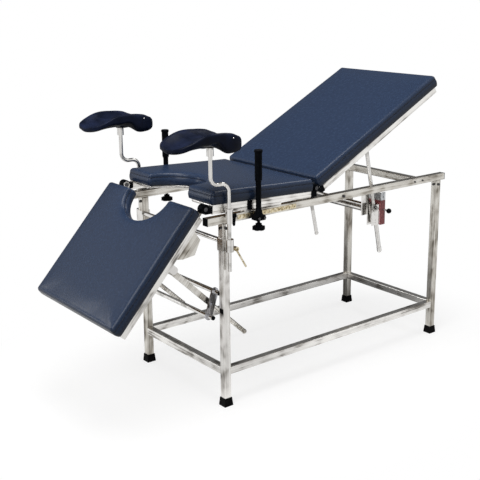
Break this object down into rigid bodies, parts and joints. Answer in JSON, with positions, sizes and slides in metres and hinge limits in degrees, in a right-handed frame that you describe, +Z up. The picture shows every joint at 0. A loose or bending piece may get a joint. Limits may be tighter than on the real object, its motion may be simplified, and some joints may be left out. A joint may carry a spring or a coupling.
{
  "type": "gynecological examination table",
  "caption": "Examination table with a tilting back, a drop-down leg section with a cut-out, swivelling leg holders and hand grips on a steel tube frame.",
  "frame": {"origin": "on the floor below the middle of the table's bounding box", "axes": "+Z up, +X towards the head end, -Y is the side with the back's stay and hinge lever"},
  "size_m": [1.7368, 0.796, 1.2089],
  "materials": {
    "steel_tube": "polished stainless steel tube with streaks",
    "chrome": "bright chrome plate",
    "fasteners": "plain steel",
    "black_plastic": "black, slightly glossy",
    "rubber": "black rubber",
    "navy_cover": "navy blue upholstery cover, semi-gloss",
    "holder_cover": "near-black moulded soft skin, glossy",
    "board": "plain plywood",
    "brass": "yellow passivated metal",
    "red_paint": "dull red paint"
  },
  "bodies": {
    "base_frame": {"near_front_leg": "steel_tube", "far_front_leg": "steel_tube", "near_rear_leg": "steel_tube", "far_rear_leg": "steel_tube", "rubber_feet": "rubber", "bottom_side_rails": "steel_tube", "bottom_end_rails": "steel_tube", "top_side_rails": "steel_tube", "tube_caps": "black_plastic", "rear_cross_rail": "steel_tube", "front_cross_tubes": "chrome", "frame_bolts": "fasteners", "holed_strips": "fasteners", "seat_side_tubes": "steel_tube", "seat_rear_tube": "steel_tube", "seat_u_bar": "chrome", "seat_board": "board", "seat_pad": "navy_cover", "seat_risers": "steel_tube", "leg_hinge_blocks": "black_plastic", "back_hinge_brackets": "black_plastic", "cross_shaft": "chrome", "tie_tube": "chrome", "shaft_hangers": "chrome", "stay_yoke": "chrome", "lock_plate": "red_paint", "link_plates": "chrome", "rail_sockets": "chrome", "rod_clamps": "chrome", "hand_posts": "black_plastic"},
    "lock_plunger": {"lock_knob": "black_plastic"},
    "hinge_lever": {"hinge_lock_lever": "chrome"},
    "back_section": {"back_side_tubes": "steel_tube", "back_end_tubes": "steel_tube", "back_board": "board", "back_pad": "navy_cover", "back_hinge_leaves": "black_plastic", "back_stay_bracket": "chrome"},
    "back_stay": {"back_stay": "chrome"},
    "leg_section": {"leg_side_tubes": "steel_tube", "leg_end_tube": "steel_tube", "leg_gussets": "chrome", "leg_board": "board", "leg_pad": "navy_cover", "leg_stay_brackets": "chrome"},
    "leg_stays": {"leg_stays": "chrome"},
    "near_post_knob": {"near_post_knob": "black_plastic"},
    "near_rod_bush": {"near_rod_bush": "chrome"},
    "near_holder_rod": {"near_holder_rod": "chrome"},
    "near_holder_saddle": {"near_holder_collar": "chrome", "near_saddle": "holder_cover"},
    "near_t_handle": {"near_t_handle": "brass"},
    "near_clamp_lever": {"near_clamp_lever": "black_plastic"},
    "far_post_knob": {"far_post_knob": "black_plastic"},
    "far_rod_bush": {"far_rod_bush": "chrome"},
    "far_holder_rod": {"far_holder_rod": "chrome"},
    "far_holder_saddle": {"far_holder_collar": "chrome", "far_saddle": "holder_cover"},
    "far_t_handle": {"far_t_handle": "brass"},
    "far_clamp_lever": {"far_clamp_lever": "black_plastic"}
  },
  "joints": [
    {"name": "back_tilt", "type": "hinge", "parent": "base_frame", "child": "back_section", "pos_m": [0.07544, 0, 0.806], "axis": [0, -1, 0], "range_deg": [-27.5, 22.5]},
    {"name": "back_stay_swing", "type": "hinge", "parent": "back_section", "child": "back_stay", "pos_m": [0.39189, 0, 0.94311], "axis": [0, -1, 0], "range_deg": [-17, 21]},
    {"name": "leg_tilt", "type": "hinge", "parent": "base_frame", "child": "leg_section", "pos_m": [-0.46306, 0, 0.801], "axis": [0, 1, 0], "range_deg": [-12, 47.85]},
    {"name": "leg_stay_swing", "type": "hinge", "parent": "leg_section", "child": "leg_stays", "pos_m": [-0.58623, 0, 0.58743], "axis": [0, 1, 0], "range_deg": [-46, 12]},
    {"name": "hinge_lever_swing", "type": "hinge", "parent": "base_frame", "child": "hinge_lever", "pos_m": [0.07344, 0, 0.785], "axis": [0, -1, 0], "range_deg": [-25, 25]},
    {"name": "lock_plunger_slide", "type": "slide", "parent": "base_frame", "child": "lock_plunger", "axis": [0, -1, 0], "range_m": [0, 0.008], "stiffness_N_per_m": 400, "springref_m": -0.004},
    {"name": "near_post_knob_turn", "type": "hinge", "parent": "base_frame", "child": "near_post_knob", "pos_m": [-0.23656, -0.316, 0.7], "axis": [0, 0, 1], "continuous": true},
    {"name": "near_holder_swing", "type": "hinge", "parent": "base_frame", "child": "near_rod_bush", "pos_m": [-0.37256, -0.312, 0.79], "axis": [0, 0, 1], "range_deg": [-30, 45]},
    {"name": "near_holder_height", "type": "slide", "parent": "near_rod_bush", "child": "near_holder_rod", "axis": [0, 0, 1], "range_m": [0, 0.07]},
    {"name": "near_saddle_swivel", "type": "hinge", "parent": "near_holder_rod", "child": "near_holder_saddle", "pos_m": [-0.45256, -0.312, 1.01], "axis": [0, 0, 1], "range_deg": [-45, 45]},
    {"name": "near_t_handle_turn", "type": "hinge", "parent": "base_frame", "child": "near_t_handle", "pos_m": [-0.34456, -0.312, 0.636], "axis": [1, 0, 0], "continuous": true},
    {"name": "near_clamp_lever_turn", "type": "hinge", "parent": "base_frame", "child": "near_clamp_lever", "pos_m": [-0.34956, -0.312, 0.764], "axis": [1, 0, 0], "range_deg": [-90, 10]},
    {"name": "far_post_knob_turn", "type": "hinge", "parent": "base_frame", "child": "far_post_knob", "pos_m": [-0.23656, 0.316, 0.7], "axis": [0, 0, 1], "continuous": true},
    {"name": "far_holder_swing", "type": "hinge", "parent": "base_frame", "child": "far_rod_bush", "pos_m": [-0.37256, 0.312, 0.79], "axis": [0, 0, -1], "range_deg": [-30, 45]},
    {"name": "far_holder_height", "type": "slide", "parent": "far_rod_bush", "child": "far_holder_rod", "axis": [0, 0, 1], "range_m": [0, 0.07]},
    {"name": "far_saddle_swivel", "type": "hinge", "parent": "far_holder_rod", "child": "far_holder_saddle", "pos_m": [-0.45256, 0.312, 1.01], "axis": [0, 0, -1], "range_deg": [-45, 45]},
    {"name": "far_t_handle_turn", "type": "hinge", "parent": "base_frame", "child": "far_t_handle", "pos_m": [-0.34456, 0.312, 0.636], "axis": [1, 0, 0], "continuous": true},
    {"name": "far_clamp_lever_turn", "type": "hinge", "parent": "base_frame", "child": "far_clamp_lever", "pos_m": [-0.34956, 0.312, 0.764], "axis": [-1, 0, 0], "range_deg": [-90, 10]}
  ],
  "couplings": [
    {"joint": "back_stay_swing", "follows": "back_tilt", "ratio": -0.75},
    {"joint": "leg_stay_swing", "follows": "leg_tilt", "ratio": -0.95}
  ]
}
